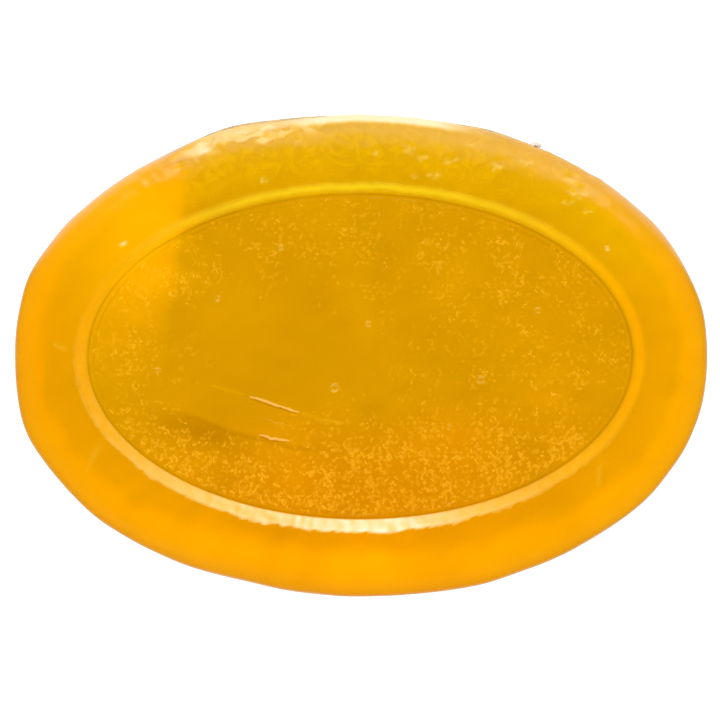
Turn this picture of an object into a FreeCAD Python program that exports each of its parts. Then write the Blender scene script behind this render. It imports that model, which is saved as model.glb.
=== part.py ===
import FreeCAD, Part
import math
import os

# Rosin cake: one oval casting of gum rosin, lying flat with its working face up, and a loose crumb on its wall.
# Frame: millimetres, +Z up, +X along the long axis. The origin is the centre of the flat underside.
# Every outline is an oval of four arcs that meet tangentially: two tight end arcs and two wide side arcs.

# The casting
length = 60.0
width = 41.8
end_radius = 17.3
thickness = 12.5
draft = 0.15  # how far the wall leans in on its way up, so that the cake leaves its mould
base_round = 0.4
shoulder_round = 3.4

# The sunken oval field that the hair of a bow is drawn over
field_length = 49.3  # across the top of the step, which is the mouth of the field
field_width = 30.3
field_end_radius = 11.3
field_depth = 0.9
step_run = 0.75  # how far the step slopes in between its top and its foot
lip_round = 0.42  # rounding of the step's top edge
groove_width = 0.45  # fine groove at the foot of the step
groove_depth = 0.12

# The crumb
crumb_length = 1.15  # along the wall
crumb_width = 0.95  # across it
crumb_height = 0.85
crumb_bearing = 68.7  # degrees round the centre of the far side arc, from +X
crumb_level = 4.6
crumb_standout = 0.02  # how far its middle lies outside the outline
crumb_sides = 6
crumb_unevenness = 0.16

casting_core = 8.0  # how far in the swept sides end and the plain core begins
field_core = 4.0
cutter_margin = 1.0  # how far the field's cutter runs on above the rim

up = FreeCAD.Vector(0, 0, 1)


def heading(angle):
    """Level unit vector at an angle in degrees from +X."""
    return FreeCAD.Vector(math.cos(math.radians(angle)), math.sin(math.radians(angle)), 0)


def oval_arcs(long_size, short_size, tight_radius):
    """The four arcs of an oval, anticlockwise, each as (centre, radius, start angle, sweep)."""
    half_long = long_size / 2
    half_short = short_size / 2
    end_offset = half_long - tight_radius
    wide_radius = (end_offset**2 + half_short**2 - tight_radius**2) / (2 * (half_short - tight_radius))
    side_offset = wide_radius - half_short
    turn = math.degrees(math.atan2(side_offset, end_offset))
    return [
        (FreeCAD.Vector(end_offset, 0, 0), tight_radius, -turn, 2 * turn),
        (FreeCAD.Vector(0, -side_offset, 0), wide_radius, turn, 180 - 2 * turn),
        (FreeCAD.Vector(-end_offset, 0, 0), tight_radius, 180 - turn, 2 * turn),
        (FreeCAD.Vector(0, side_offset, 0), wide_radius, 180 + turn, 180 - 2 * turn),
    ]


def placed(arc, angle, point):
    """Where an (inset, level) point lies on an arc of an oval, at an angle round that arc's centre."""
    centre, radius = arc[0], arc[1]
    inset, level = point
    return centre + heading(angle) * (radius - inset) + up * level


def upright_face(arc, profile):
    """Upright face inside a profile, at the start of an arc.

    A profile is a list of (inset, level) points joined by straight lines. Where an item is a pair of points,
    it is an arc: its middle and its end.
    """
    start_angle = arc[2]
    first = placed(arc, start_angle, profile[0])
    here = first
    edges = []
    for item in profile[1:]:
        if isinstance(item[0], tuple):
            middle = placed(arc, start_angle, item[0])
            there = placed(arc, start_angle, item[1])
            edges.append(Part.Arc(here, middle, there).toShape())
        else:
            there = placed(arc, start_angle, item)
            edges.append(Part.LineSegment(here, there).toShape())
        here = there
    edges.append(Part.LineSegment(here, first).toShape())
    return Part.Face(Part.Wire(edges))


def oval_face(arcs, inset, level):
    """Flat face bounded by the parallel curve a distance inside an oval."""
    edges = []
    for arc in arcs:
        start_angle, sweep = arc[2], arc[3]
        points = [placed(arc, start_angle + sweep * share, (inset, level)) for share in (0, 0.5, 1)]
        edges.append(Part.Arc(*points).toShape())
    return Part.Face(Part.Wire(edges))


def oval_solid(arcs, profile):
    """Solid of oval plan whose side follows a profile: one turned sector for each arc, round a plain core.

    The profile starts at the bottom of the core and ends at the top of it.
    """
    core_inset, low = profile[0]
    high = profile[-1][1]
    core = oval_face(arcs, core_inset, low).extrude(up * (high - low))
    sectors = [upright_face(arc, profile).revolve(arc[0], up, arc[3]) for arc in arcs]
    return core.multiFuse(sectors).removeSplitter()


def round_point(centre, radius, angle):
    """Point of a round in a profile, at an angle in degrees."""
    turn = math.radians(angle)
    return (centre[0] + radius * math.cos(turn), centre[1] + radius * math.sin(turn))


def cast_block():
    """The casting before its field: base edge, leaning wall, rounded shoulder and flat top."""
    base_centre = (base_round, base_round)
    shoulder_centre = (draft + shoulder_round, thickness - shoulder_round)
    profile = [
        (casting_core, 0),
        (base_round, 0),
        (round_point(base_centre, base_round, 225), (0, base_round)),
        (draft, shoulder_centre[1]),
        (round_point(shoulder_centre, shoulder_round, 135), (shoulder_centre[0], thickness)),
        (casting_core, thickness),
    ]
    return oval_solid(oval_arcs(length, width, end_radius), profile)


def field_hollow():
    """The space above the sunken field: rounded mouth, sloping step, groove at its foot, flat floor."""
    floor = thickness - field_depth
    top = thickness + cutter_margin
    slope = math.degrees(math.atan2(field_depth, step_run))
    setback = lip_round * math.tan(math.radians(slope / 2))
    lip_centre = (-setback, thickness - lip_round)
    groove_foot = (step_run * (1 + groove_depth / field_depth), floor - groove_depth)
    groove_inner = groove_foot[0] + groove_width
    profile = [
        (field_core, floor),
        (groove_inner, floor),
        (groove_inner, groove_foot[1]),
        groove_foot,
        round_point(lip_centre, lip_round, 90 - slope),
        (round_point(lip_centre, lip_round, 90 - slope / 2), (-setback, thickness)),
        (-setback, top),
        (field_core, top),
    ]
    return oval_solid(oval_arcs(field_length, field_width, field_end_radius), profile)


def rosin_cake():
    """The whole casting."""
    return cast_block().cut(field_hollow())


def flat_face(points):
    """Plane face through its corners."""
    return Part.Face(Part.makePolygon(points + points[:1]))


def edge_crumb(cake):
    """Uneven chip of rosin against the wall, cut off where it meets the cake."""
    arc = oval_arcs(length, width, end_radius)[1]
    outward = heading(crumb_bearing)
    along = up.cross(outward)
    middle = placed(arc, crumb_bearing, (-crumb_standout, crumb_level))
    rings = [(-0.5, 0.55, 12), (0.08, 1.0, 50), (0.5, 0.5, 120)]  # share of the height, size, turn in degrees
    corners = []
    for rise, size, turn in rings:
        ring = []
        for i in range(crumb_sides):
            spin = math.radians(turn + 360 * i / crumb_sides)
            reach = size * (1 - crumb_unevenness * (1 + math.sin(2.3 * i + 4 * rise)) / 2)
            point = middle + up * (crumb_height * rise)
            point = point + along * (crumb_length / 2 * reach * math.cos(spin))
            ring.append(point + outward * (crumb_width / 2 * reach * math.sin(spin)))
        corners.append(ring)
    faces = []
    for lower, upper in zip(corners, corners[1:]):
        for i in range(crumb_sides):
            j = (i + 1) % crumb_sides
            faces.append(flat_face([lower[i], lower[j], upper[j]]))
            faces.append(flat_face([lower[i], upper[j], upper[i]]))
    for ring in (corners[0], corners[-1]):
        faces += [flat_face([ring[0], ring[i], ring[i + 1]]) for i in range(1, crumb_sides - 1)]
    chip = Part.Solid(Part.makeShell(faces))
    if chip.Volume < 0:
        chip.reverse()
    return chip.cut(cake)


def main():
    os.makedirs("parts", exist_ok=True)
    cake = rosin_cake()
    nodes = {"rosin_cake": cake, "edge_crumb": edge_crumb(cake)}
    for name, shape in nodes.items():
        solid = shape.Solids[0]
        solid.exportStep("parts/" + name + ".step")
        box = solid.optimalBoundingBox()
        print(name, "valid", solid.isValid(), "solids", len(shape.Solids), "volume", round(solid.Volume, 3))
        print("  size", round(box.XLength, 3), round(box.YLength, 3), round(box.ZLength, 3))


main()
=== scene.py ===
import math
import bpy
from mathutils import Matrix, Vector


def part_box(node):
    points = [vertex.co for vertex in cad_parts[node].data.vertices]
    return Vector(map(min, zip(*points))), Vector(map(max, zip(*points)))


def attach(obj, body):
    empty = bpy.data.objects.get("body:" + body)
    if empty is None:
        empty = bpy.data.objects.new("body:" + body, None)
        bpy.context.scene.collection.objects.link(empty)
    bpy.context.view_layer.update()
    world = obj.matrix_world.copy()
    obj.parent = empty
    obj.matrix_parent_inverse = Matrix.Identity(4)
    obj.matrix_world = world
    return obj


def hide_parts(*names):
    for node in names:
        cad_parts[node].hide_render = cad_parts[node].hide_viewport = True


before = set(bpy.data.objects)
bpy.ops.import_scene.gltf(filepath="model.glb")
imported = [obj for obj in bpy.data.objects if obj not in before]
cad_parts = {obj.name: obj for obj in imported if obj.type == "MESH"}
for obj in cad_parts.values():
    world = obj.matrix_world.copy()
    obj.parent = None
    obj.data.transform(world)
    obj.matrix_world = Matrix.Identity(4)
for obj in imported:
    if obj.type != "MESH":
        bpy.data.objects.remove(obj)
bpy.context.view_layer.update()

from types import SimpleNamespace

import bpy
import numpy as np

mm = 0.001  # shapes and marks below are in millimetres
rosinIndex = 1.53  # how strongly rosin bends light
scene = bpy.context.scene
scene.view_settings.view_transform = "Standard"
rng = np.random.default_rng(41)

cakeLow, cakeHigh = [np.array(corner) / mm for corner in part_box("rosin_cake")]
crumbLow, crumbHigh = [np.array(corner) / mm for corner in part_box("edge_crumb")]
halfLong = float(cakeHigh[0] - cakeLow[0]) / 2
halfWide = float(cakeHigh[1] - cakeLow[1]) / 2
topLevel = float(cakeHigh[2])
print("frame loaded: cake size", (cakeHigh - cakeLow).round(2), "mm")


# sRGB hex to the linear colour that shaders take: divided by 12.92 near black, a 2.4 power above that
def linear(hexColour):
    raw = [int(hexColour[i : i + 2], 16) / 255 for i in (1, 3, 5)]
    return tuple(c / 12.92 if c <= 0.04045 else ((c + 0.055) / 1.055) ** 2.4 for c in raw) + (1.0,)


# The same colour as an array of three
def rgb(hexColour):
    return np.array(linear(hexColour)[:3])


# 0 up to low, 1 from high on, and the S curve 3s^2 - 2s^3 between them
def soft(value, low, high):
    share = np.clip((value - low) / (high - low), 0, 1)
    return share * share * (3 - 2 * share)


# Bell of height 1 at the middle: e to the minus square of the distance in spreads
def bell(value, middle, spread):
    return np.exp(-(((value - middle) / spread) ** 2))


# How far a bearing in degrees is past another one, from -180 to 180
def turnFrom(bearing, middle):
    return (bearing - middle + 180) % 360 - 180


# Bell over an oval patch in plan: e to the minus square of the distance, measured in the patch's half sizes
def patch(x, y, place, sizes, turn=0.0):
    c, s = math.cos(math.radians(turn)), math.sin(math.radians(turn))
    along = ((x - place[0]) * c + (y - place[1]) * s) / sizes[0]
    across = ((y - place[1]) * c - (x - place[0]) * s) / sizes[1]
    return np.exp(-(along**2) - across**2)


# Uneven swell of height about 1: the sum of plane waves of random heading, phase and a length near the size
def ripples(x, y, size, waves=20):
    total = 0
    for heading, phase, length in rng.uniform([0, 0, 0.6], [math.pi, 2 * math.pi, 1.5], (waves, 3)):
        wave = (x * math.cos(heading) + y * math.sin(heading)) * 2 * math.pi / (length * size)
        total = total + np.cos(wave + phase)
    return total / math.sqrt(waves / 2)


# Distance in plan from a chain of straight runs, positive on its left, and the share of the way along it:
# the least distance to any of the runs
def fromChain(x, y, chain):
    nearest = np.full(x.shape, 1e3)
    along = np.zeros(x.shape)
    for i, (start, end) in enumerate(zip(chain, chain[1:])):
        runX, runY = end[0] - start[0], end[1] - start[1]
        share = np.clip(((x - start[0]) * runX + (y - start[1]) * runY) / (runX**2 + runY**2), 0, 1)
        gap = np.hypot(x - start[0] - share * runX, y - start[1] - share * runY)
        side = np.sign(runX * (y - start[1]) - runY * (x - start[0]))
        along = np.where(gap < np.abs(nearest), (i + share) / (len(chain) - 1), along)
        nearest = np.where(gap < np.abs(nearest), gap * side, nearest)
    return nearest, along


# Mark along a chain, widest in its middle: a bell of the distance, whose spread shrinks by a parabola to
# the ends
def stroke(x, y, chain, spread):
    gap, along = fromChain(x, y, chain)
    fromEnds = along * (1 - along)
    return bell(gap, 0, spread * (0.25 + 3 * fromEnds)) * soft(fromEnds, 0, 0.06)


# Lengths and places are in mm, from the middle of the cake, and bearings in degrees
cakeSettings = {
    "columns": 512,          # steps round the oval
    "crowding": 0.35,        # how much closer the steps are on the chipped side than on average
    "crowdedAt": 100,        # bearing of that side in degrees
    "fullness": 0.015,       # how far the quarters stand out past a true ellipse
    "wallLean": 0.15,        # the draft that lets the cake leave its mould
    "baseRound": 0.4,
    "shoulderRound": 3.4,
    "mouthLong": 24.5,       # half sizes of the field at the top of its step
    "mouthWide": 15.0,
    "mouthFullness": 0.001,
    "mouthShift": (-0.1, -0.08),
    "fieldDepth": 0.9,
    "lipRound": 0.42,
    "stepSlope": 50,         # degrees
    "footRound": 0.22,
    "grooveWidth": 0.74,     # groove at the foot of the step, with the tiny raised edge inside it
    "grooveDepth": 0.10,
    "edgeHeight": 0.05,
    # rings of points in each stretch, from the middle of the underside out, up, in and down to the field
    "rows": {"underside": 9, "base": 5, "wall": 11, "shoulder": 30, "rim": 15, "lip": 9, "step": 8, "foot": 5,
             "groove": 14, "field": 84},

    # the marks of pouring, handling and knocks
    # bearing, spread and how far out the outline stands there
    "outlineBumps": [(167, 7, 0.33), (195, 10, 0.40), (213, 7, 0.14), (346, 10, 0.22), (330, 8, 0.12),
                     (296, 10, 0.15), (5, 8, 0.1), (38, 13, -0.2), (62, 10, -0.12), (120, 7, 0.22),
                     (140, 12, -0.15), (243, 8, -0.18), (278, 32, 0.1), (185, 6, 0.12)],
    "stepWander": [(14, 0.03), (4, 0.02)],  # size in degrees and how far the step's top edge strays
    "wanderAt": 240,
    "wanderSpread": 45,
    "flare": 0.2,            # how far the base edge spreads, where the poured resin crept under its mould
    "flared": [(118, 17), (61, 6)],
    # bearing and spread of the painted shadow line along the base edge
    "baseLines": [(118, 22), (61, 9)],
    "grainLeast": 0.217,     # share of the field that curly marks cover, before what follows
    # more of them: how much, towards which side, and where that begins and is full
    "grainSides": [(0.527, 0, -1, 4.5, 9), (0.217, -1, 0, 12, 18), (0.0744, 0, 1, 4, 9),
                   (0.093, 1, 0, 4, 14)],
    "bareSpots": [(0.7, (-7.5, 0.5), (9, 4.5), 0), (0.5, (-10, -6.5), (6, 2), -14)],
    "fieldSwell": 0.018,     # height of the slow unevenness of the field, the outside and the far side
    "wallSwell": 0.03,
    "farSwell": 0.02,
    "crackedFrom": 101,      # bearings between which the far edge is bruised
    "crackedTo": 132,
    "crackedReach": 1.5,     # how far in
    "crackedDepth": 0.16,
    "facets": 34,
    # least and most of a facet's place, its two tilts and its share of the depth
    "facetLow": [-17, 15.8, -0.35, -0.35, 0.2],
    "facetHigh": [-4, 20.6, 0.35, 0.35, 1],
    "chipDepth": 0.28,       # a share of the chip's own size
    # place and radius of each
    "rimChips": [(4.2, 18.0, 0.45), (5.2, 17.2, 0.35), (7.7, 17.0, 0.5), (11.8, 16.6, 0.5), (4.6, 15.6, 0.3),
                 (6.3, 15.7, 0.4), (18.2, 15.4, 0.55), (18.7, 14.3, 0.6), (17.9, 13.3, 0.4), (9.4, 18.3, 0.3),
                 (1.2, 17.6, 0.3), (14.3, 16.9, 0.35), (19.6, 12.6, 0.35), (-8.3, 15.3, 0.35)],
    "ringCrack": (-8.0, 19.3, 0.62),
    "ringDepth": 0.1,
    "pitDepth": 0.35,        # a share of the pit's own size
    "pits": [(-2.3, -2.8, 0.3), (0.6, 2.7, 0.22), (10.3, -2.1, 0.28), (-12.4, 4.9, 0.2), (7.6, -6.2, 0.2),
             (-17.6, -1.3, 0.2), (15.2, 3.9, 0.2), (-6.9, 9.3, 0.2)],
    # painted glints: place, half sizes and turn of small white highlights
    "glints": [(-13.6, 17.7, 0.75, 0.42, 10), (-20.5, 9.6, 0.3, 0.12, 25), (21.2, 9.2, 0.1, 0.22, 0)],
    "foldRise": 0.05,
    "foldFrom": (-17, -14),  # where along x the fold begins and ends
    "foldTo": (-6, -2.5),
    "fold": [(-16.4, -4.5), (-14.0, -5.2), (-11.4, -6.3), (-8.6, -7.0), (-5.8, -7.7), (-2.0, -8.0)],
    "scratchDepth": 0.08,
    "scratches": [[(-9.7, -3.5), (-7.6, -4.2), (-5.2, -4.95)], [(-8.9, -6.8), (-7.6, -7.2), (-6.0, -7.4)]],
    "faintDepth": 0.03,
    "faintScratches": [[(-5.2, -4.9), (-3.4, -5.6), (-1.2, -5.9)], [(-13.0, -2.6), (-10.0, -3.4)]],
    "branchRise": 0.05,
    "branches": [[(-24.3, 0.3), (-25.4, 0.5), (-26.7, 1.0)], [(-22.4, -7.2), (-23.0, -8.6), (-23.8, -10.1)],
                 [(20.6, -8.2), (20.4, -11.6)]],

    # what each stretch looks like from above, by the side that it is on, with painted light in it:
    # the flanks carry a painted glow, and the far side is painted yellower where the window's light enters
    "shades": {
        "fieldMiddle": "#D69702",
        "field": {"far": "#D79902", "left": "#D89904", "near": "#DB8B04", "right": "#D99703"},
        "rim": {"far": "#E1AC07", "left": "#E69E01", "near": "#F9A402", "right": "#E9A103"},
        "flank": {"far": "#DFAE1C", "left": "#FEA603", "near": "#FEAC01", "right": "#FDAB01"},
        "band": {"far": "#FFDD04", "left": "#EAA208", "near": "#FFBE62", "right": "#FAA906"},
        "paintedGlowRim": "#FFB500",
        "paintedGlowField": "#F8AB00",
        # painted shade in the groove's lines
        "groove": "#7A4A00",
        # dust, and the painted highlights of the crescent, glints, far edge and chips
        "dustAndHighlights": "#F6EDE2",
        "scratch": "#FFC99C",
        # painted shade by the fold and under the scratches
        "fold": "#B07202",
        "baseShadow": "#6E6470",
        # pale smudges on the far side's skin, partly painted sheen, and the chips' painted highlights
        "smudgeAndSheen": "#F5CC70",
        "warmSpot": "#F08E04",
    },

    # where the shades lie
    "rimTurn": 24,           # how far round the rim's far shade is drawn towards the right side
    "rimTurnAt": 38,
    "rimTurnSpread": 24,
    "flankFrom": 1.9,        # how far in the flank's shade begins to change to the rim's
    "flankTo": 3.3,
    "fieldFrom": (0.4, 1.2),  # where the rim's shade changes to the field's, in from the mouth
    "fieldFade": (0.15, 0.85),  # and the middle's to the sides', as shares of the field's half size
    "patchEdge": [(-14.4, 19.0), (-15.0, 14.0), (-16.4, 3.0)],  # sharp right edge of the patch of painted glow
    "patchPlace": (-17.6, 10.6),
    "patchSizes": (4.6, 7.4),
    "patchTurn": -24,
    "bandPlace": 0.37,       # how far in from the mouth the painted lit band on the step lies
    "bandWidth": 0.32,
    "bandNarrower": 0.08,    # on the far side
    # painted highlight: the crescent where the near step mirrors the window
    "crescentAt": 256,
    "crescentSpread": 56,
    # painted shade: two dark lines in the groove
    "grooveLines": (1.03, 1.52),
    "grooveLineWidth": 0.07,
    "farLineFrom": (58, 74),  # bearings over which the painted highlight line on the far edge begins, ends and is fainter
    "farLineTo": (124, 134),
    "farLineFainter": (99, 111),
    "mattFrom": (22, 50),    # and the rubbed skin begins and ends
    "mattTo": (130, 142),
    # where the crescent's painted highlight is whitest
    "whitestAt": 275,
    "whitestSpread": 33,
    "shadePlace": (-13.8, -6.6),  # painted shade below the fold
    "shadeSizes": (3.8, 1.2),
    "shadeTurn": -16,
    "warmPlace": (8, -7.5),
    "warmSizes": (4.0, 2.2),
    "dimming": 0.05,         # of the rim, on the near right side
    "dimAt": 318,
    "dimSpread": 20,

    # how the skin and the body of the casting take the light
    "flankLift": 1.12,       # painted glow: light that the wall lets in beside the floor's, painted into the flank's colour
    "bodyGain": (1.08, 0.94, 1.0),  # how much of each colour the skin and the thickness leave
    "bodyColour": (1.0, 0.9925, 0.0, 1),  # what the thickness doesn't take away
    "bodyDensity": 1500.0,
    "bodyRoughness": 0.25,
    "hazeRoughness": 0.5,
    "hazeOpacity": 0.45,     # share of light that dusty places and painted highlights scatter instead of passing
    # spacing, length and width in mm of the short curly marks, and a shift that keeps the layers apart
    "strokes": [(0.6, 0.5, 0.17, 0.0), (0.42, 0.3, 0.16, 5.3), (0.85, 0.6, 0.15, 11.9)],
    "wobbleSize": 0.45,      # mm, the noise that bends the marks
    "wobbleReach": 0.4,      # mm
    "strokeBend": 0.9,       # per mm
    # the curly marks are raised in the bump, and their brighter colour is painted highlight
    "strokeColour": "#FDC02E",
    "strokeScatter": 0.15,
    "strokeHeight": 0.012,   # mm
    "scratchWidth": 0.16,    # mm to either side
    "scratchDrift": 0.26,    # mm, how far its line strays in all
    "smudgeSize": 1.5,       # mm, the rubbed marks on the matt skin
    "smudgeOpacity": 0.85,
    "peelSize": 0.45,        # mm, the skin that cooling leaves
    "peelHeight": 0.004,
    "crackSpacing": 0.55,    # mm between the small cracks of a bruise
    "crackTurn": -26,        # they run along the edge
    "crackStretch": 2,
    "crackDrift": 0.9,
    "bruiseColour": "#F4D2A4",
    "bruiseOpacity": 0.75,
}
stretches = list(cakeSettings["rows"])


# Points of an oval: an ellipse whose quarters are pushed out by the fullness times the square of sin 2a
def oval(angle, long, wide, fullness):
    swell = 1 + fullness * np.sin(2 * angle) ** 2
    return long * swell * np.cos(angle), wide * swell * np.sin(angle)


# Half section from the middle of the underside to the middle of the field. Straight stretches are even
# steps and rounds are arcs. Each row holds the oval's two half sizes, its level and its stretch's number.
def halfSection():
    s = cakeSettings
    rows = []

    def add(stretch, long, wide, level):
        level = np.broadcast_to(level, long.shape)
        rows.append(np.stack([long, wide, level, np.full(long.shape, stretches.index(stretch))], axis=1))

    def steps(stretch, start, end):
        return np.linspace(start, end, s["rows"][stretch] + 1)[1:]

    share = steps("underside", 0, 1)
    add("underside", (halfLong - s["baseRound"]) * share, (halfWide - s["baseRound"]) * share, 0.0)
    turn = steps("base", 0, math.pi / 2)
    inset = s["baseRound"] * (1 - np.sin(turn))
    add("base", halfLong - inset, halfWide - inset, s["baseRound"] * (1 - np.cos(turn)))
    shoulderLevel = topLevel - s["shoulderRound"]
    level = steps("wall", s["baseRound"], shoulderLevel)
    inset = s["wallLean"] * (level - s["baseRound"]) / (shoulderLevel - s["baseRound"])
    add("wall", halfLong - inset, halfWide - inset, level)
    turn = steps("shoulder", 0, math.pi / 2)
    inset = s["wallLean"] + s["shoulderRound"] * (1 - np.cos(turn))
    add("shoulder", halfLong - inset, halfWide - inset, shoulderLevel + s["shoulderRound"] * np.sin(turn))
    # the rim changes from the shoulder's oval to the mouth's
    slope = math.radians(s["stepSlope"])
    setback = s["lipRound"] * math.tan(slope / 2)
    rimEdge = s["wallLean"] + s["shoulderRound"]
    share = steps("rim", 0, 1)
    long = (halfLong - rimEdge) * (1 - share) + (s["mouthLong"] + setback) * share
    wide = (halfWide - rimEdge) * (1 - share) + (s["mouthWide"] + setback) * share
    add("rim", long, wide, topLevel)
    # from here on a reach is a distance outside the mouth
    turn = steps("lip", 0, slope)
    reach = setback - s["lipRound"] * np.sin(turn)
    add("lip", s["mouthLong"] + reach, s["mouthWide"] + reach, topLevel - s["lipRound"] * (1 - np.cos(turn)))
    lipReach, lipLevel = reach[-1], topLevel - s["lipRound"] * (1 - math.cos(slope))
    grooveLevel = topLevel - s["fieldDepth"] - s["grooveDepth"]
    footLevel = grooveLevel + s["footRound"] * (1 - math.cos(slope))
    drop = steps("step", 0, 1)
    reach = lipReach - (lipLevel - footLevel) / math.tan(slope) * drop
    add("step", s["mouthLong"] + reach, s["mouthWide"] + reach, lipLevel + (footLevel - lipLevel) * drop)
    turn = steps("foot", slope, 0)
    reach = reach[-1] - s["footRound"] * (math.sin(slope) - np.sin(turn))
    level = grooveLevel + s["footRound"] * (1 - np.cos(turn))
    add("foot", s["mouthLong"] + reach, s["mouthWide"] + reach, level)
    share = steps("groove", 0, 1)
    rise = soft(share, 0.1, 0.6) * s["grooveDepth"] + s["edgeHeight"] * bell(share, 0.68, 0.14)
    reach = reach[-1] - s["grooveWidth"] * share
    add("groove", s["mouthLong"] + reach, s["mouthWide"] + reach, grooveLevel + rise)
    share = steps("field", 1, 0.012)
    fieldLong, fieldWide = s["mouthLong"] + reach[-1], s["mouthWide"] + reach[-1]
    add("field", fieldLong * share, fieldWide * share, topLevel - s["fieldDepth"])
    return np.concatenate(rows)


# Outward normals of a closed grid: the cross product of the step round a ring and the step across the rings
def gridNormals(points, lowPole, highPole):
    around = np.roll(points, -1, axis=1) - np.roll(points, 1, axis=1)
    ends = [np.broadcast_to(pole, points[:1].shape) for pole in (lowPole, highPole)]
    padded = np.concatenate([ends[0], points, ends[1]])
    normals = np.cross(around, padded[2:] - padded[:-2])
    return normals / np.maximum(np.linalg.norm(normals, axis=2, keepdims=True), 1e-9)


# Closed mesh from rings of points: quads between neighbouring rings, and a fan of triangles at either pole.
# Paints are arrays with one colour for each point of the grid, and the poles take their ring's mean.
def ringMesh(name, points, lowPole, highPole, paints):
    rows, columns = points.shape[:2]
    vertices = np.concatenate([points.reshape(-1, 3), [lowPole], [highPole]])
    index = np.arange(rows * columns).reshape(rows, columns)
    after = np.roll(index, -1, axis=1)
    quads = np.stack([index[:-1], after[:-1], after[1:], index[1:]], axis=-1).reshape(-1, 4)
    lowFan = np.stack([np.full(columns, rows * columns), after[0], index[0]], axis=1)
    highFan = np.stack([np.full(columns, rows * columns + 1), index[-1], after[-1]], axis=1)
    corners = np.concatenate([quads.ravel(), lowFan.ravel(), highFan.ravel()]).astype(np.int32)
    sizes = np.concatenate([np.full(len(quads), 4), np.full(2 * columns, 3)])
    starts = np.concatenate([[0], np.cumsum(sizes)[:-1]]).astype(np.int32)
    mesh = bpy.data.meshes.new(name)
    mesh.vertices.add(len(vertices))
    mesh.vertices.foreach_set("co", (vertices * mm).astype(np.float32).ravel())
    mesh.loops.add(len(corners))
    mesh.loops.foreach_set("vertex_index", corners)
    mesh.polygons.add(len(sizes))
    mesh.polygons.foreach_set("loop_start", starts)
    mesh.update(calc_edges=True)
    mesh.polygons.foreach_set("use_smooth", np.ones(len(mesh.polygons), bool))
    for paintName, paint in paints.items():
        colours = np.ones((len(vertices), 4), np.float32)
        channels = paint.shape[2]
        colours[: rows * columns, :channels] = paint.reshape(-1, channels)
        colours[-2, :channels] = paint[0].mean(axis=0)
        colours[-1, :channels] = paint[-1].mean(axis=0)
        mesh.attributes.new(paintName, "FLOAT_COLOR", "POINT").data.foreach_set("color", colours.ravel())
    piece = bpy.data.objects.new(name, mesh)
    scene.collection.objects.link(piece)
    return piece


# Blend of a far, left, near and right shade: each counts by the square of the cosine of the angle from
# its side
def around(bearing, shades):
    total = 0
    for side, middle in (("far", 90), ("left", 180), ("near", 270), ("right", 0)):
        share = np.clip(np.cos(np.radians(bearing - middle)), 0, 1) ** 2
        total = total + share[..., None] * rgb(shades[side])
    return total


# First colour where the share is 0, second where it is 1
def blend(first, second, share):
    return first + (second - first) * np.clip(share, 0, 1)[..., None]


# The grid before its marks: the half section swept round its ovals, and pushed out in plan by the outline's
# bumps, the step's wander and the flared base edge. With each point go its bearing and how far in it lies.
def sweptGrid():
    s = cakeSettings
    section = halfSection()
    even = np.linspace(0, 2 * math.pi, s["columns"], endpoint=False)
    angle = even - s["crowding"] * np.sin(even - math.radians(s["crowdedAt"]))
    mouthShare = soft(s["mouthLong"] - section[:, 0:1], -1.9, -0.3)
    fullness = s["fullness"] + (s["mouthFullness"] - s["fullness"]) * mouthShare
    x, y = oval(angle[None, :], section[:, 0:1], section[:, 1:2], fullness)
    g = SimpleNamespace()
    g.stretch = np.broadcast_to(section[:, 3:4], x.shape)
    g.level = np.broadcast_to(section[:, 2:3], x.shape)
    g.inward = np.broadcast_to(halfLong - section[:, 0:1], x.shape)
    g.fromMouth = s["mouthLong"] - np.broadcast_to(section[:, 0:1], x.shape)
    g.onTop = (g.stretch >= stretches.index("shoulder")).astype(float)
    g.inMouth = soft(g.fromMouth, -1.2, -0.3) * g.onTop
    g.onField = soft(g.fromMouth, 1.25, 1.9) * g.onTop
    g.bearing = np.degrees(np.arctan2(y, x)) % 360
    g.facing = np.degrees(np.arctan2(y / halfWide, x / halfLong)) % 360  # which side of the oval it is on

    swell = 0
    for middle, spread, far in s["outlineBumps"]:
        swell = swell + bell(turnFrom(g.bearing, middle), 0, spread) * far
    swell = swell * (1 - g.inMouth)
    distance = np.maximum(np.hypot(x, y), 1e-3)
    g.wander = sum(ripples(g.bearing, g.bearing * 0, size) * far for size, far in s["stepWander"])
    atStep = bell(turnFrom(g.bearing, s["wanderAt"]), 0, s["wanderSpread"]) * bell(g.fromMouth, -0.1, 0.35)
    out = 1 + (swell + g.wander * atStep * g.onTop) / distance
    flare = sum(bell(turnFrom(g.bearing, middle), 0, spread) for middle, spread in s["flared"])
    flare = flare * (g.level < 1) * (1 - g.onTop)
    out = out + flare * s["flare"] / distance * soft(distance, 1, 5)
    shiftX, shiftY = s["mouthShift"]
    g.points = np.stack([x * out + shiftX * g.inMouth, y * out + shiftY * g.inMouth, g.level], axis=2)
    g.x, g.y = g.points[..., 0], g.points[..., 1]
    g.farSide = soft(g.y, 10, 17)
    return g


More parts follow.
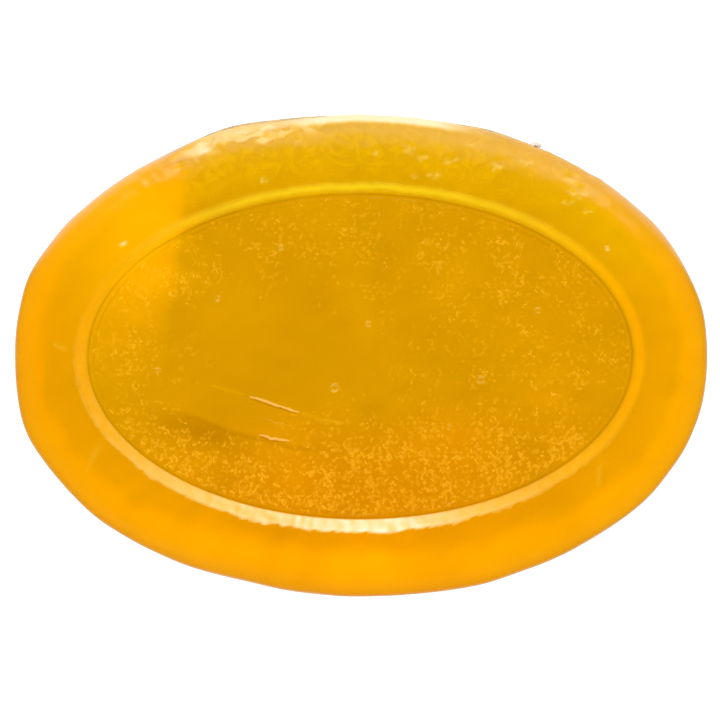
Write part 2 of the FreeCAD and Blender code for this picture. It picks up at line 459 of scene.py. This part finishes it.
# The bruised far edge: a ragged patch whose skin has broken into tilted facets, where each point is on the
# plane of the nearest middle
def bruiseHeight(g):
    s = cakeSettings
    x, y = g.x, g.y
    edge = ripples(x, y, 1.5) * 0.25
    cracked = soft(turnFrom(g.bearing, s["crackedFrom"]) + edge * 4, -2, 3)
    cracked = cracked * (1 - soft(turnFrom(g.bearing, s["crackedTo"]) + edge * 4, -3, 3))
    reach = s["crackedReach"]
    cracked = cracked * soft(g.inward, 0.2, 0.5) * (1 - soft(g.inward + edge, reach - 0.2, reach + 0.3))
    g.cracked = cracked * g.onTop
    facets = np.zeros(x.shape)
    nearest = np.full(x.shape, 1e3)
    for across, along, tiltX, tiltY, depth in rng.uniform(s["facetLow"], s["facetHigh"], (s["facets"], 5)):
        gap = np.hypot(x - across, (y - along) * 1.4) + 0.12 * edge
        facet = -s["crackedDepth"] * depth + tiltX * (x - across) + tiltY * (y - along)
        facets = np.where(gap < nearest, facet, facets)
        nearest = np.minimum(nearest, gap)
    return g.cracked * np.clip(facets, -0.3, 0.1)


# Chips with painted highlights on their lower edges, the ring-shaped crack and the round pits: bowls and
# bells at their places
def knockHeight(g):
    s = cakeSettings
    x, y = g.x, g.y
    height = np.zeros(x.shape)
    g.chips = np.zeros(x.shape)
    for placeX, placeY, size in s["rimChips"]:
        gap = np.hypot(x - placeX, y - placeY) + 0.3 * size * ripples(x, y, size * 1.6, 8)
        height = height - s["chipDepth"] * size * np.clip(1 - (gap / size) ** 2, 0, 1) * g.onTop
        # painted highlight on the chip's lower edge, which faces the window
        lit = bell(gap, size * 0.8, size * 0.35) * soft(placeY - y, -size * 0.6, size * 0.5) * g.onTop
        g.chips = np.maximum(g.chips, lit)
    placeX, placeY, size = s["ringCrack"]
    g.ring = bell(np.hypot(x - placeX, y - placeY), size, 0.13) * g.onTop
    height = height - s["ringDepth"] * g.ring
    g.pits = np.zeros(x.shape)
    for placeX, placeY, size in s["pits"]:
        gap = np.hypot(x - placeX, y - placeY)
        height = height - s["pitDepth"] * size * bell(gap, 0, size * 0.6) * g.onField
        # painted glints on the pit's rim, strongest on its far and near sides
        sides = np.abs(np.sin(np.arctan2(y - placeY, x - placeX)))
        g.pits = np.maximum(g.pits, bell(gap, size, size * 0.3) * sides * g.onField)
    return height


# The fold, the scratches and the raised lines on the rim: bells of the distance from their chains.
# The two clear scratches also leave a painted distance and taper, from which the shader draws them sharp.
def lineHeight(g):
    s = cakeSettings
    x, y = g.x, g.y
    g.fold = fromChain(x, y, s["fold"])[0]
    g.foldEnds = soft(x, *s["foldFrom"]) * (1 - soft(x, *s["foldTo"])) * g.onField
    scratch = sum(stroke(x, y, chain, 0.17) for chain in s["scratches"]) * g.onField
    scratchGap, scratchTaper = np.full(x.shape, 5.0), np.zeros(x.shape)
    for chain in s["scratches"]:
        gap, along = fromChain(x, y, chain)
        closer = np.abs(gap) < np.abs(scratchGap)
        scratchTaper = np.where(closer, (4 * along * (1 - along)) ** 0.6 * g.onField, scratchTaper)
        scratchGap = np.where(closer, gap, scratchGap)
    scratchGap = np.where(scratchTaper > 0, scratchGap, 5.0)
    g.lines = np.stack([scratchGap, scratchTaper], axis=2)
    g.faint = sum(stroke(x, y, chain, 0.18) for chain in s["faintScratches"]) * g.onField
    g.branch = sum(stroke(x, y, chain, 0.2) for chain in s["branches"]) * (1 - g.inMouth) * g.onTop
    height = s["foldRise"] * bell(g.fold, 0.15, 0.35) * g.foldEnds
    height = height - s["scratchDepth"] * scratch - s["faintDepth"] * g.faint
    return height + s["branchRise"] * g.branch


# Painted shadow: a grey line along the flared base edge, strongest where it is flared
def baseLine(g):
    low = (g.stretch < stretches.index("shoulder")) * (g.level > 0)
    share = sum(bell(turnFrom(g.bearing, middle), 0, spread) for middle, spread in cakeSettings["baseLines"])
    return np.clip(low * share, 0, 1) * (1 - soft(g.level, 0.5, 1.3))


# The casting's shade, ring by ring from the outside in: flank, rim, field, glowing patch, band along the
# step, crescent and groove, and then the marks' own shades
def castTone(g):
    s = cakeSettings
    shades = s["shades"]
    x, y = g.x, g.y
    # painted light by side: the flanks' glow, and the rim and field tinted by where the window's light falls
    near = np.clip(-np.sin(np.radians(g.bearing)), 0, 1)
    rimTurn = s["rimTurn"] * bell(turnFrom(g.facing, s["rimTurnAt"]), 0, s["rimTurnSpread"])
    flankTone = around(g.facing, shades["flank"]) * s["flankLift"]
    flankFrom, flankTo = s["flankFrom"] + 0.9 * near, s["flankTo"] + 1.2 * near
    tone = blend(flankTone, around(g.facing + rimTurn, shades["rim"]),
                 soft(g.inward + 0.12 * ripples(x, y, 5), flankFrom, flankTo))
    fromMiddle = np.hypot(x / s["mouthLong"], y / s["mouthWide"])
    fieldTone = blend(rgb(shades["fieldMiddle"]), around(g.facing, shades["field"]),
                      soft(fromMiddle, *s["fieldFade"]))
    tone = blend(tone, fieldTone, soft(g.fromMouth, *s["fieldFrom"]))
    # painted glow: a patch where the window's light comes brighter through the casting
    patchEdge = fromChain(x, y, s["patchEdge"])[0]
    inPatch = np.clip(1.5 * patch(x, y, s["patchPlace"], s["patchSizes"], s["patchTurn"]), 0, 1)
    g.patchShare = soft(-patchEdge, -0.3, 0.8) * inPatch
    patchTone = blend(rgb(shades["paintedGlowRim"]), rgb(shades["paintedGlowField"]), g.onField)
    tone = blend(tone, patchTone, g.patchShare)

    # painted light: a lit band along the step, where the step bends the light
    farness = np.clip(np.sin(np.radians(g.bearing)), 0, 1)
    bandWidth = s["bandWidth"] - s["bandNarrower"] * farness
    g.band = bell(g.fromMouth + g.wander, s["bandPlace"], bandWidth) ** 0.7 * g.onTop
    tone = blend(tone, around(g.facing, shades["band"]), g.band * (0.95 + 0.05 * farness))
    # painted highlight: a crescent on the near step, where it mirrors the window
    outer = soft(g.fromMouth + g.wander + 0.05 * ripples(x, y, 0.8), -0.3, -0.12)
    crescent = outer * (1 - soft(g.fromMouth, 0.84, 0.97)) * g.onTop
    crescentSide = bell(turnFrom(g.bearing, s["crescentAt"]), 0, s["crescentSpread"])
    g.crescent = crescent * np.clip(1.25 * crescentSide, 0, 1)
    tone = blend(tone, rgb(shades["band"]["near"]), g.crescent)
    # painted shade: two dark lines in the groove
    outerLine, innerLine = [bell(g.fromMouth, line, s["grooveLineWidth"]) for line in s["grooveLines"]]
    groove = outerLine + 0.55 * innerLine * (0.6 + 0.4 * np.sin(np.radians(g.bearing * 3)))
    tone = blend(tone, rgb(shades["groove"]), groove * g.onTop * 0.5)

    paintedFoldShade = patch(x, y, s["shadePlace"], s["shadeSizes"], s["shadeTurn"])
    tone = blend(tone, rgb(shades["fold"]), paintedFoldShade * soft(-g.fold, -0.1, 0.4) * g.onField)
    # faint scratches, and painted glints on the pits' rims
    tone = blend(tone, rgb(shades["scratch"]), np.clip(0.35 * g.faint + g.pits * 0.8, 0, 1))
    # painted highlights on the chips' lower edges, with the raised lines
    tone = blend(tone, rgb(shades["smudgeAndSheen"]), np.clip(g.chips * 0.9 + g.branch * 0.35, 0, 1))
    # painted shadow: a dark line beside the fold
    tone = blend(tone, rgb(shades["fold"]), bell(g.fold, -0.3, 0.2) * g.foldEnds * 0.7)
    # painted contact shadow along the base edge
    tone = blend(tone, rgb(shades["baseShadow"]), g.baseLine)
    warm = patch(x, y, s["warmPlace"], s["warmSizes"])
    tone = blend(tone, rgb(shades["warmSpot"]), 0.4 * warm * g.onField)
    dimmer = s["dimming"] * bell(turnFrom(g.bearing, s["dimAt"]), 0, s["dimSpread"])
    dimmer = dimmer * soft(g.inward, 2, 3.5) * (1 - g.inMouth)
    tone = tone * (1 - dimmer + 0.02 * ripples(x, y, 9) + 0.015 * ripples(x, y, 3))[..., None]
    return np.clip(tone / np.array(s["bodyGain"]), 0, 1)


# Shares from 0 to 1 that the shader reads: a point's curly grain, broken skin, dusty haze with painted
# highlights, and scuff with painted sheen
def castMarks(g):
    s = cakeSettings
    x, y = g.x, g.y
    # painted glints in the dust shade
    glint = sum(patch(x, y, (a, b), (c, d), turn) for a, b, c, d, turn in s["glints"]) * g.onTop
    # painted highlight: a pale line along the far edge, where it mirrors the window
    farEdgeHighlight = (1 - soft(g.inward, 0.55, 1.0)) * g.onTop
    farEdgeHighlight = farEdgeHighlight * soft(g.bearing, *s["farLineFrom"]) * (1 - soft(g.bearing, *s["farLineTo"]))
    farEdgeHighlight = farEdgeHighlight * (1 - 0.45 * soft(g.bearing, *s["farLineFainter"]))
    # the crescent's painted highlight, in the dust shade, whitest at its middle
    whitest = bell(turnFrom(g.bearing, s["whitestAt"]), 0, s["whitestSpread"])
    hazeAndHighlights = g.crescent * (0.5 + 0.45 * whitest) * (0.9 + 0.16 * ripples(x, y, 1.1))
    hazeAndHighlights = hazeAndHighlights + glint + farEdgeHighlight * 0.9 + 0.1 * g.chips + 0.25 * g.ring
    # the curly marks crowd towards the near side and the ends, and leave the middle and the fold bare
    grain = s["grainLeast"]
    for share, wayX, wayY, low, high in s["grainSides"]:
        grain = grain + share * soft(wayX * x + wayY * y, low, high)
    for share, place, sizes, turn in s["bareSpots"]:
        grain = grain - share * patch(x, y, place, sizes, turn)
    grain = grain + 0.13 * ripples(x, y, 5) + 0.13 * ripples(x, y, 1.6)
    grain = grain * soft(g.fromMouth, 1.05, 1.5) * g.onTop
    # painted sheen on the far band, chips and pits, and the painted base shadow, with the raised lines
    scuffAndSheen = 0.6 * g.band * (1 - g.crescent) * soft(y, 6, 14)
    scuffAndSheen = scuffAndSheen + 0.3 * g.chips + 0.5 * g.pits + 0.1 * g.branch + g.baseLine
    return np.clip(np.stack([grain, g.cracked, hazeAndHighlights, scuffAndSheen], axis=2), 0, 1)


# The whole cake: the swept grid moved along its normals by the height of every mark, with its paints
def castCake():
    s = cakeSettings
    g = sweptGrid()
    outside = (g.stretch >= stretches.index("wall")) * soft(g.level, 0.5, 2.5) * (1 - g.inMouth)
    height = s["wallSwell"] * ripples(g.x, g.y, 6) * outside
    height = height + s["fieldSwell"] * ripples(g.x, g.y, 8) * g.onField
    height = height + s["farSwell"] * ripples(g.x, g.y, 1.6) * g.farSide * (1 - g.inMouth) * g.onTop
    height = height + bruiseHeight(g)
    height = height + knockHeight(g)
    height = height + lineHeight(g)
    lowPole = np.array([0, 0, 0.0])
    highPole = np.array([*s["mouthShift"], topLevel - s["fieldDepth"]])
    points = g.points + gridNormals(g.points, lowPole, highPole) * height[..., None]
    g.baseLine = baseLine(g)
    tone = castTone(g)
    marks = castMarks(g)
    # how far the skin is rubbed matt, which rides in the tone's fourth channel
    matt = g.farSide * (1 - 0.5 * soft(g.inward, 2.5, 5)) * (1 - g.inMouth) * (1 - g.patchShare)
    matt = matt * soft(g.bearing, *s["mattFrom"]) * (1 - soft(g.bearing, *s["mattTo"]))
    tone = np.concatenate([tone, matt[..., None]], axis=2)
    print("cake grid", points.shape[:2], "marks and paints done")
    return ringMesh("cast_cake", points, lowPole, highPole, {"tone": tone, "marks": marks, "lines": g.lines})


# One node with its settings, and what feeds it by name, or by number as i0, i1: a value, a socket, or a node
# whose first output is meant
def addNode(tree, kind, settings=None, **feeds):
    node = tree.nodes.new(kind)
    for key, value in (settings or {}).items():
        setattr(node, key, value)
    for key, value in feeds.items():
        numbered = key[0] == "i" and key[1:].isdigit()
        socket = node.inputs[int(key[1:])] if numbered else node.inputs[key.replace("_", " ")]
        if isinstance(value, bpy.types.Node):
            value = value.outputs[0]
        if isinstance(value, bpy.types.NodeSocket):
            tree.links.new(value, socket)
        else:
            socket.default_value = value
    return node


maths, vectors = "ShaderNodeMath", "ShaderNodeVectorMath"
plus, minus, times = {"operation": "ADD"}, {"operation": "SUBTRACT"}, {"operation": "MULTIPLY"}
timesPlus, larger = {"operation": "MULTIPLY_ADD"}, {"operation": "MAXIMUM"}
unsigned, colours = {"operation": "ABSOLUTE"}, {"data_type": "RGBA"}
smooth = {"interpolation_type": "SMOOTHSTEP"}


# Layers of short curly marks: one stroke in each Voronoi cell, turned by the cell's random colour. Its middle
# line is a parabola, and it shows where the cell's second random number is below the grain.
def curlyMarks(tree, place, drift, grain):
    s = cakeSettings
    strokes = None
    for spacing, length, width, shift in s["strokes"]:
        warped = addNode(tree, vectors, plus, i0=place, i1=drift)
        moved = addNode(tree, vectors, plus, i0=warped, i1=(shift * mm, shift * 2 * mm, 0))
        cell = addNode(tree, "ShaderNodeTexVoronoi", {"voronoi_dimensions": "2D"}, Vector=moved,
                       Scale=1 / (spacing * mm))
        local = addNode(tree, vectors, minus, i0=moved, i1=cell.outputs["Position"])
        chance = addNode(tree, "ShaderNodeSeparateColor", Color=cell.outputs["Color"])
        heading = addNode(tree, maths, times, i0=chance, i1=2 * math.pi)
        turned = addNode(tree, "ShaderNodeVectorRotate", {"rotation_type": "Z_AXIS"}, Vector=local,
                         Angle=heading)
        axes = addNode(tree, "ShaderNodeSeparateXYZ", Vector=turned)
        squared = addNode(tree, maths, times, i0=axes, i1=axes)
        bent = addNode(tree, maths, timesPlus, i0=squared, i1=s["strokeBend"] / mm, i2=axes.outputs[1])
        side = addNode(tree, maths, unsigned, i0=bent)
        end = addNode(tree, maths, unsigned, i0=axes)
        slim = addNode(tree, "ShaderNodeMapRange", smooth, Value=side, i1=width * 0.35 * mm, i2=width * mm,
                       i3=1.0, i4=0.0)
        short = addNode(tree, "ShaderNodeMapRange", smooth, Value=end, i1=length * 0.35 * mm,
                        i2=length * 0.55 * mm, i3=1.0, i4=0.0)
        present = addNode(tree, maths, {"operation": "LESS_THAN"}, i0=chance.outputs[1], i1=grain)
        shape = addNode(tree, maths, times, i0=slim, i1=short)
        uneven = addNode(tree, maths, timesPlus, i0=chance.outputs[2], i1=0.75, i2=0.25)
        strength = addNode(tree, "ShaderNodeMapRange", Value=grain, i1=0.0, i2=0.8, i3=0.2, i4=1.0)
        seen = addNode(tree, maths, times, i0=uneven, i1=strength)
        drawn = addNode(tree, maths, times, i0=shape, i1=seen)
        layer = addNode(tree, maths, times, i0=drawn, i1=present)
        strokes = layer if strokes is None else addNode(tree, maths, larger, i0=strokes, i1=layer)
    return strokes


# Small cracks of a bruise: each cell of broken skin has its own paleness, and the lines between are palest
def brokenSkin(tree, place, jitter, bruise):
    s = cakeSettings
    turn, reach = math.radians(s["crackTurn"]), s["crackDrift"] * mm
    stretched = addNode(tree, "ShaderNodeMapping", Vector=place, Rotation=(0, 0, turn),
                        Scale=(1 / s["crackStretch"], 1, 1))
    moved = addNode(tree, vectors, timesPlus, i0=jitter, i1=(reach, reach, reach), i2=stretched)
    scale = 1 / (s["crackSpacing"] * mm)
    cell = addNode(tree, "ShaderNodeTexVoronoi", Vector=moved, Scale=scale)
    edge = addNode(tree, "ShaderNodeTexVoronoi", {"feature": "DISTANCE_TO_EDGE"}, Vector=moved, Scale=scale)
    line = addNode(tree, "ShaderNodeMapRange", Value=edge, i1=0.0, i2=0.12, i3=0.9, i4=0.0)
    facet = addNode(tree, "ShaderNodeSeparateColor", Color=cell.outputs["Color"])
    patchy = addNode(tree, "ShaderNodeMapRange", smooth, Value=facet, i1=0.25, i2=0.9, i3=0.05, i4=1.0)
    paleness = addNode(tree, maths, larger, i0=line, i1=patchy)
    partly = addNode(tree, maths, times, i0=paleness, i1=s["bruiseOpacity"])
    return addNode(tree, maths, times, i0=partly, i1=bruise)


# The two clear scratches, from their painted distance and taper: a pale line, and a dark line of painted
# shade just below it
def scratchLines(tree, wobble):
    s = cakeSettings
    lines = addNode(tree, "ShaderNodeAttribute", {"attribute_name": "lines"})
    gap = addNode(tree, "ShaderNodeSeparateColor", Color=lines.outputs["Color"])
    chance = addNode(tree, "ShaderNodeSeparateColor", Color=wobble.outputs["Color"])
    drift = s["scratchDrift"]
    wandering = addNode(tree, maths, timesPlus, i0=chance, i1=drift, i2=-drift / 2)
    offset = addNode(tree, maths, plus, i0=gap, i1=wandering)
    wide = addNode(tree, maths, timesPlus, i0=gap.outputs[1], i1=s["scratchWidth"], i2=1e-4)
    found = []
    for shift, core in ((0.0, 0.3), (0.2, 0.0)):
        moved = addNode(tree, maths, plus, i0=offset, i1=shift)
        away = addNode(tree, maths, unsigned, i0=moved)
        inner = addNode(tree, maths, times, i0=wide, i1=core)
        drawn = addNode(tree, "ShaderNodeMapRange", smooth, Value=away, i1=inner, i2=wide, i3=1.0, i4=0.0)
        found.append(drawn)
    return found


# Cast gum rosin, poured hot and cooled with a glassy skin. It passes light with a deep amber that comes from
# its thickness, so thin places are paler, and its skin blurs what lies behind. Handling leaves short curly
# marks that catch the light, and knocks leave whitish cracks and dust. Its colour also holds painted light:
# glows, highlights on the step, edges, chips and pits, and shade in the groove, by the fold and at the base.
def castGumRosin():
    s = cakeSettings
    material = bpy.data.materials.new("cast_gum_rosin")
    material.use_nodes = True
    tree = material.node_tree
    tree.nodes.clear()
    place = addNode(tree, "ShaderNodeTexCoord").outputs["Object"]
    paint = addNode(tree, "ShaderNodeAttribute", {"attribute_name": "tone"})
    tone, matt = paint.outputs["Color"], paint.outputs["Alpha"]
    marks = addNode(tree, "ShaderNodeAttribute", {"attribute_name": "marks"})
    shares = addNode(tree, "ShaderNodeSeparateColor", Color=marks.outputs["Color"])
    grain, bruise, hazeAndHighlights = shares.outputs[0], shares.outputs[1], shares.outputs[2]

    wobble = addNode(tree, "ShaderNodeTexNoise", {"noise_dimensions": "3D"}, Vector=place,
                     Scale=1 / (s["wobbleSize"] * mm), Detail=3.0)
    jitter = addNode(tree, vectors, minus, i0=wobble.outputs["Color"], i1=(0.5, 0.5, 0.5))
    drift = addNode(tree, vectors, {"operation": "SCALE"}, i0=jitter, Scale=s["wobbleReach"] * mm)
    strokes = curlyMarks(tree, place, drift, grain)
    bruised = brokenSkin(tree, place, jitter, bruise)
    pale, dark = scratchLines(tree, wobble)

    # rubbed marks on the matt skin, pale smudges that are partly painted sheen: the ridges of a bent noise
    rubbedAndSheen = addNode(tree, "ShaderNodeTexNoise", Vector=place, Scale=1 / (s["smudgeSize"] * mm), Detail=4.0,
                     Distortion=1.6)
    ridge = addNode(tree, "ShaderNodeMapRange", smooth, Value=rubbedAndSheen.outputs["Fac"], i1=0.45, i2=0.62, i3=0.0,
                    i4=s["smudgeOpacity"])
    smudgeAndSheen = addNode(tree, maths, times, i0=ridge, i1=matt)

    # colour: the tone, then smudges with painted sheen, scratches with painted shade below, curly marks with
    # painted highlight, broken skin, and dust with painted highlights over it
    def over(share, below, colour):
        return addNode(tree, "ShaderNodeMix", colours, i0=share, i6=below, i7=linear(colour)).outputs[2]

    smudgedAndSheened = over(smudgeAndSheen, tone, s["shades"]["smudgeAndSheen"])
    # painted shade below the scratches, in the fold's shade
    darkened = over(dark, smudgedAndSheened, s["shades"]["fold"])
    scratchShare = addNode(tree, maths, times, i0=pale, i1=0.85)
    scratched = over(scratchShare, darkened, s["shades"]["scratch"])
    marked = over(strokes, scratched, s["strokeColour"])
    cracked = over(bruised, marked, s["bruiseColour"])
    dustedAndHighlighted = over(hazeAndHighlights, cracked, s["shades"]["dustAndHighlights"])

    # worn places and painted highlights scatter light instead of passing it, and are rougher
    faintly = addNode(tree, maths, times, i0=pale, i1=0.5)
    rubbingAndLit = addNode(tree, maths, larger, i0=hazeAndHighlights, i1=faintly)
    wornAndLit = addNode(tree, maths, larger, i0=rubbingAndLit, i1=bruised)
    lit = addNode(tree, maths, timesPlus, i0=strokes, i1=s["strokeScatter"], i2=marks.outputs["Alpha"])
    scatter = addNode(tree, maths, {"operation": "MAXIMUM", "use_clamp": True}, i0=wornAndLit, i1=lit)
    clear = addNode(tree, maths, timesPlus, i0=scatter, i1=-s["hazeOpacity"], i2=1.0)
    dull = addNode(tree, maths, larger, i0=scatter, i1=matt)
    rough = addNode(tree, maths, timesPlus, i0=dull, i1=s["hazeRoughness"] - s["bodyRoughness"],
                    i2=s["bodyRoughness"])
    peel = addNode(tree, "ShaderNodeTexNoise", Vector=place, Scale=1 / (s["peelSize"] * mm), Detail=3.0)
    peelHeight = addNode(tree, maths, times, i0=peel.outputs["Fac"], i1=s["peelHeight"])
    relief = addNode(tree, maths, timesPlus, i0=strokes, i1=s["strokeHeight"], i2=peelHeight)
    bump = addNode(tree, "ShaderNodeBump", Height=relief, Strength=1.0, Distance=mm)
    shader = addNode(tree, "ShaderNodeBsdfPrincipled", Base_Color=dustedAndHighlighted, Roughness=rough,
                     Transmission_Weight=clear, Normal=bump, IOR=rosinIndex)
    absorb = addNode(tree, "ShaderNodeVolumeAbsorption", Color=s["bodyColour"], Density=s["bodyDensity"])
    addNode(tree, "ShaderNodeOutputMaterial", Surface=shader, Volume=absorb)
    return material


cake = castCake()
cake.data.materials.append(castGumRosin())
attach(cake, "root")
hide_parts("rosin_cake")
print("cake done")

crumbSettings = {
    "rows": 28,
    "columns": 48,
    "cuts": 15,              # broken faces
    "cutLow": 0.7,           # least and most distance of a broken face from the middle
    "cutHigh": 1.05,
    "edgeSharpness": 22,
    "clearShade": "#FFFDF6",
    "darkSpotShade": "#7A4A18",
    "darkSpotPlace": (0.5, 0.42),  # shares of the crumb's size in plan, from its lower left corner
    "darkSpotSizes": (0.16, 0.2),
    "roughness": 0.12,
    "clearness": 0.6,
    "bodyColour": (1.0, 0.97, 0.8, 1),
    "bodyDensity": 400.0,
    "ridgeSize": 0.12,       # mm, the fine ridges of a broken face
    "ridgeHeight": 0.02,     # mm
}


# A splinter: in each direction the nearest of some random planes, joined by a power mean so that the edges
# between the broken faces are a little rounded. It is stretched to fill the box of its CAD node.
def edgeCrumb():
    c = crumbSettings
    lift = np.linspace(-math.pi / 2, math.pi / 2, c["rows"] + 2)[1:-1, None]
    turn = np.linspace(0, 2 * math.pi, c["columns"], endpoint=False)[None, :]
    level = np.broadcast_to(np.sin(lift), (c["rows"], c["columns"]))
    ways = np.stack([np.cos(lift) * np.cos(turn), np.cos(lift) * np.sin(turn), level], axis=2)
    faces = rng.normal(size=(c["cuts"], 3))
    faces = faces / np.linalg.norm(faces, axis=1, keepdims=True)
    nearness = 1 / rng.uniform(c["cutLow"], c["cutHigh"], c["cuts"])
    poles = np.array([[0, 0, -1.0], [0, 0, 1.0]])

    def spread(way):
        sight = np.clip(way @ faces.T, 0, None) * nearness
        total = np.sum(sight ** c["edgeSharpness"], axis=-1, keepdims=True)
        return way / (total + 0.02) ** (1 / c["edgeSharpness"])

    points, ends = spread(ways), spread(poles)
    everything = np.concatenate([points.reshape(-1, 3), ends])
    low, high = everything.min(axis=0), everything.max(axis=0)
    size = crumbHigh - crumbLow
    points = (points - low) / (high - low) * size + crumbLow
    ends = (ends - low) / (high - low) * size + crumbLow
    darkSpotPlace = crumbLow[:2] + size[:2] * c["darkSpotPlace"]
    darkSpot = patch(points[..., 0], points[..., 1], darkSpotPlace, size[:2] * c["darkSpotSizes"])
    tone = blend(rgb(c["clearShade"]), rgb(c["darkSpotShade"]), darkSpot)
    return ringMesh("loose_crumb", points, ends[0], ends[1], {"tone": tone})


# Freshly broken rosin: glassy and nearly clear where it is this thin, with a dark brown spot
def brokenRosin():
    c = crumbSettings
    material = bpy.data.materials.new("broken_rosin")
    material.use_nodes = True
    tree = material.node_tree
    tree.nodes.clear()
    place = addNode(tree, "ShaderNodeTexCoord").outputs["Object"]
    tone = addNode(tree, "ShaderNodeAttribute", {"attribute_name": "tone"}).outputs["Color"]
    ridges = addNode(tree, "ShaderNodeTexNoise", Vector=place, Scale=1 / (c["ridgeSize"] * mm), Detail=2.0)
    bump = addNode(tree, "ShaderNodeBump", Height=ridges.outputs["Fac"], Strength=1.0,
                   Distance=c["ridgeHeight"] * mm)
    shader = addNode(tree, "ShaderNodeBsdfPrincipled", Base_Color=tone, Roughness=c["roughness"],
                     Transmission_Weight=c["clearness"], IOR=rosinIndex, Normal=bump)
    absorb = addNode(tree, "ShaderNodeVolumeAbsorption", Color=c["bodyColour"], Density=c["bodyDensity"])
    addNode(tree, "ShaderNodeOutputMaterial", Surface=shader, Volume=absorb)
    return material


crumb = edgeCrumb()
crumb.data.materials.append(brokenRosin())
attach(crumb, "root")
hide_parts("edge_crumb")
print("crumb done")

stageSettings = {
    "floorReach": 3.0,       # metres from here on
    "floorLevel": -2e-5,
    "floorGlow": 1.17,
    "floorAlbedo": 0.12,
    "worldGlow": 1.0,
    "windowPlace": (0.05, 0.55, 0.14),
    "windowSize": (0.7, 0.45),
    "windowRadiance": 2.1,
    "mirroredReach": 0.008,  # how far out the steep wall mirrors the paper
    "farMirrored": 0.08,     # how much further on the far side
    "paperSteps": 96,        # steps round that ring of paper
    "fillPlace": (0.0, 0.1, 0.8),
    "fillSize": (0.8, 0.8),
    "fillRadiance": 3.0,
    "cameraPlace": (-0.11 * mm, -0.41 * mm, 1.2),
    "framedWidth": 0.0627,
    "sensorWidth": 36,       # mm
    "sightRange": (0.05, 10),
}
reach, floorLevel = stageSettings["floorReach"], stageSettings["floorLevel"]
floorMesh = bpy.data.meshes.new("floor")
corners = [(x * reach, y * reach, floorLevel) for x, y in ((-1, -1), (1, -1), (1, 1), (-1, 1))]
floorMesh.from_pydata(corners, [], [(0, 1, 2, 3)])
floor = bpy.data.objects.new("floor", floorMesh)
scene.collection.objects.link(floor)
floor.visible_glossy = False
paper = bpy.data.materials.new("white_paper")
paper.use_nodes = True
sockets = paper.node_tree.nodes["Principled BSDF"].inputs
sockets["Base Color"].default_value = (*[stageSettings["floorAlbedo"]] * 3, 1)
sockets["Roughness"].default_value = 0.9
sockets["Specular IOR Level"].default_value = 0.1
sockets["Emission Color"].default_value = (1, 1, 1, 1)
sockets["Emission Strength"].default_value = stageSettings["floorGlow"]
floorMesh.materials.append(paper)


# The paper beside the cake, as its steep wall mirrors it: a flat ring between two ovals, fading outwards.
# Only mirrored light sees it.
def paperRing():
    s = stageSettings
    count = s["paperSteps"]
    angle = np.linspace(0, 2 * math.pi, count, endpoint=False)
    points = []
    for share in (0.0, 1.0):
        grow = share * (s["mirroredReach"] + s["farMirrored"] * soft(np.sin(angle), 0.3, 1.0))
        x, y = oval(angle, halfLong * mm + grow, halfWide * mm + grow, cakeSettings["fullness"])
        points += list(zip(x.tolist(), y.tolist(), [floorLevel / 2] * count))
    faces = [(i, (i + 1) % count, (i + 1) % count + count, i + count) for i in range(count)]
    mesh = bpy.data.meshes.new("near_paper")
    mesh.from_pydata(points, [], faces)
    mesh.attributes.new("glow", "FLOAT", "POINT").data.foreach_set("value", np.repeat([1.0, 0.0], count))
    mesh.materials.append(mirroredPaper())
    ring = bpy.data.objects.new("near_paper", mesh)
    scene.collection.objects.link(ring)
    ring.visible_camera = False
    ring.visible_diffuse = False
    ring.visible_transmission = False
    ring.visible_shadow = False
    return ring


# White paper as it looks in the wall: light of its own that fades with the painted glow
def mirroredPaper():
    material = bpy.data.materials.new("mirrored_paper")
    material.use_nodes = True
    tree = material.node_tree
    fade = addNode(tree, "ShaderNodeAttribute", {"attribute_name": "glow"}).outputs["Fac"]
    glowing = addNode(tree, maths, times, i0=fade, i1=stageSettings["floorGlow"])
    sockets = tree.nodes["Principled BSDF"].inputs
    sockets["Base Color"].default_value = (0, 0, 0, 1)
    sockets["Specular IOR Level"].default_value = 0.0
    sockets["Emission Color"].default_value = (1, 1, 1, 1)
    tree.links.new(glowing.outputs[0], sockets["Emission Strength"])
    return material


paperRing()

world = bpy.data.worlds.new("studio")
scene.world = world
world.use_nodes = True
world.node_tree.nodes["Background"].inputs[0].default_value = (1, 1, 1, 1)
world.node_tree.nodes["Background"].inputs[1].default_value = stageSettings["worldGlow"]
world.cycles_visibility.glossy = False


# A flat lamp that faces the origin, as bright as its radiance says: pi times the radiance times the area
def softbox(name, kind):
    size = stageSettings[kind + "Size"]
    lamp = bpy.data.lights.new(name, "AREA")
    lamp.shape = "RECTANGLE"
    lamp.size, lamp.size_y = size
    lamp.energy = stageSettings[kind + "Radiance"] * math.pi * size[0] * size[1]
    holder = bpy.data.objects.new(name, lamp)
    scene.collection.objects.link(holder)
    holder.location = stageSettings[kind + "Place"]
    holder.rotation_euler = (-holder.location).to_track_quat("-Z", "Y").to_euler()
    holder.visible_camera = False
    return holder


window = softbox("far_window", "window")
window.visible_transmission = False
# light from above, which only dust, scuffs and the painted highlights scatter
fill = softbox("overhead_fill", "fill")
fill.visible_transmission = False
fill.visible_glossy = False

camera = bpy.data.cameras.new("camera")
camera.sensor_width = stageSettings["sensorWidth"]
camera.lens = camera.sensor_width * stageSettings["cameraPlace"][2] / stageSettings["framedWidth"]
camera.clip_start, camera.clip_end = stageSettings["sightRange"]
eye = bpy.data.objects.new("camera", camera)
scene.collection.objects.link(eye)
eye.location = stageSettings["cameraPlace"]
scene.camera = eye
print("stage done")
